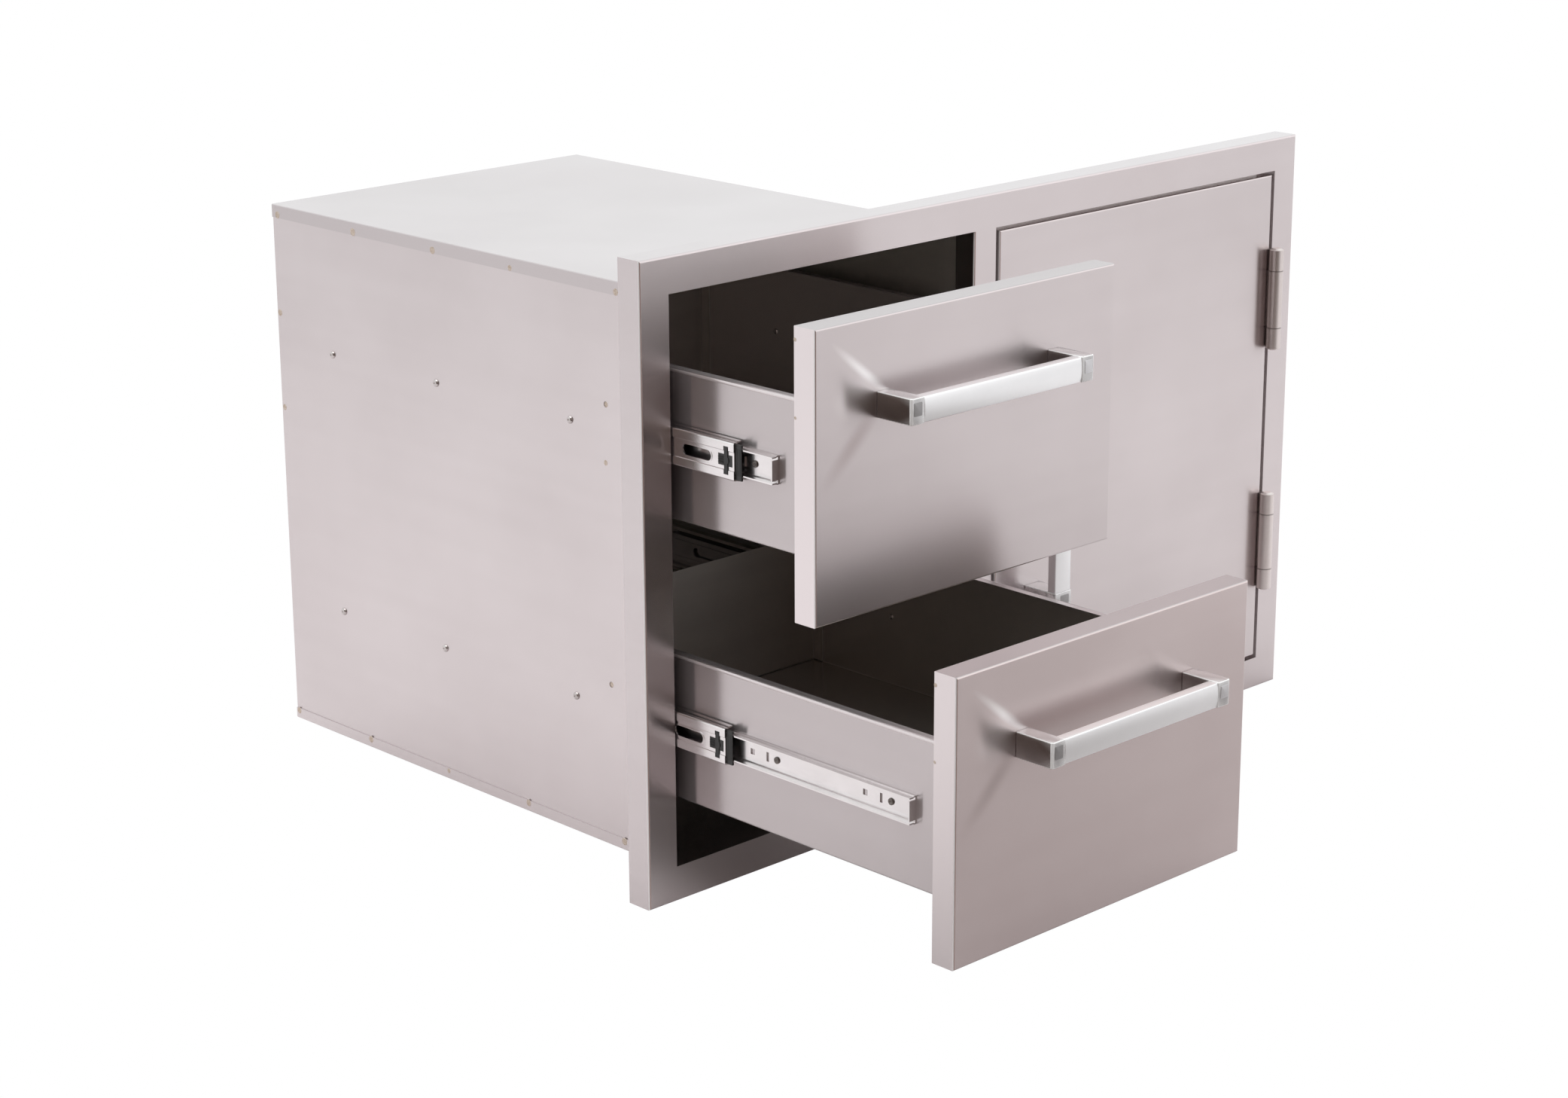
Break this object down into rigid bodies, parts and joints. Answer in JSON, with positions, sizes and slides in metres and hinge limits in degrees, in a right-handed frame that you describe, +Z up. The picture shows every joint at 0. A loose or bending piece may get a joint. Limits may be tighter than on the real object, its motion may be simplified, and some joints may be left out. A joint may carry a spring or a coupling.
{
  "type": "outdoor kitchen drawer unit",
  "caption": "Built-in stainless outdoor kitchen unit: face frame with drawers on ball-bearing slides in an enclosure, beside an access door on exposed hinges.",
  "frame": {"origin": "centre of the face frame in the plane of its flange's back face, which seats on the island's wall", "axes": "+Z up, +Y towards the back into the island, so the fronts face -Y; +X to the viewer's right"},
  "size_m": [0.8382, 0.8834, 0.55],
  "materials": {
    "brushed_stainless": "brushed stainless sheet, horizontal grain",
    "satin_steel": "bright satin bar",
    "polished_steel": "polished handle ends",
    "hinge_steel": "polished stainless hinge",
    "zinc_plated_steel": "bright zinc-plated roll-formed steel",
    "black_plastic": "black moulded plastic",
    "ferrite": "ferrite magnet behind a steel pole plate"
  },
  "bodies": {
    "cabinet": {"catch_housing": "black_plastic", "catch_magnet": "ferrite", "catch_tab": "brushed_stainless", "enclosure_back": "brushed_stainless", "enclosure_bottom": "brushed_stainless", "enclosure_left_side": "brushed_stainless", "enclosure_right_side": "brushed_stainless", "enclosure_top": "brushed_stainless", "face_frame": "brushed_stainless", "hinge_pins": "hinge_steel", "lower_hinge_frame_leaf": "hinge_steel", "lower_left_cabinet_slide": "zinc_plated_steel", "lower_right_cabinet_slide": "zinc_plated_steel", "mullion": "brushed_stainless", "upper_hinge_frame_leaf": "hinge_steel", "upper_left_cabinet_slide": "zinc_plated_steel", "upper_right_cabinet_slide": "zinc_plated_steel"},
    "door": {"door_grip": "satin_steel", "door_liner": "brushed_stainless", "door_lower_post": "polished_steel", "door_skin": "brushed_stainless", "door_upper_post": "polished_steel", "lower_hinge_door_leaf": "hinge_steel", "striker_plate": "brushed_stainless", "upper_hinge_door_leaf": "hinge_steel"},
    "upper_slide_mids": {"upper_ball_cages": "black_plastic", "upper_left_mid_slide": "zinc_plated_steel", "upper_right_mid_slide": "zinc_plated_steel"},
    "upper_drawer": {"upper_front_liner": "brushed_stainless", "upper_front_skin": "brushed_stainless", "upper_grip": "satin_steel", "upper_left_drawer_slide": "zinc_plated_steel", "upper_left_post": "polished_steel", "upper_right_drawer_slide": "zinc_plated_steel", "upper_right_post": "polished_steel", "upper_tray": "brushed_stainless", "upper_tray_back": "brushed_stainless"},
    "lower_slide_mids": {"lower_ball_cages": "black_plastic", "lower_left_mid_slide": "zinc_plated_steel", "lower_right_mid_slide": "zinc_plated_steel"},
    "lower_drawer": {"lower_front_liner": "brushed_stainless", "lower_front_skin": "brushed_stainless", "lower_grip": "satin_steel", "lower_left_drawer_slide": "zinc_plated_steel", "lower_left_post": "polished_steel", "lower_right_drawer_slide": "zinc_plated_steel", "lower_right_post": "polished_steel", "lower_tray": "brushed_stainless", "lower_tray_back": "brushed_stainless"}
  },
  "joints": [
    {"name": "upper_mid_slide", "type": "slide", "parent": "cabinet", "child": "upper_slide_mids", "axis": [0, -1, 0], "range_m": [-0.1211, 0.1039]},
    {"name": "upper_drawer_slide", "type": "slide", "parent": "upper_slide_mids", "child": "upper_drawer", "axis": [0, -1, 0], "range_m": [-0.0409, 0.1841]},
    {"name": "lower_mid_slide", "type": "slide", "parent": "cabinet", "child": "lower_slide_mids", "axis": [0, -1, 0], "range_m": [-0.1075, 0.1175]},
    {"name": "lower_drawer_slide", "type": "slide", "parent": "lower_slide_mids", "child": "lower_drawer", "axis": [0, -1, 0], "range_m": [-0.2055, 0.0195]},
    {"name": "door_hinge", "type": "hinge", "parent": "cabinet", "child": "door", "pos_m": [0.38635, -0.0327, 0], "axis": [0, 0, 1], "range_deg": [0, 110]}
  ]
}
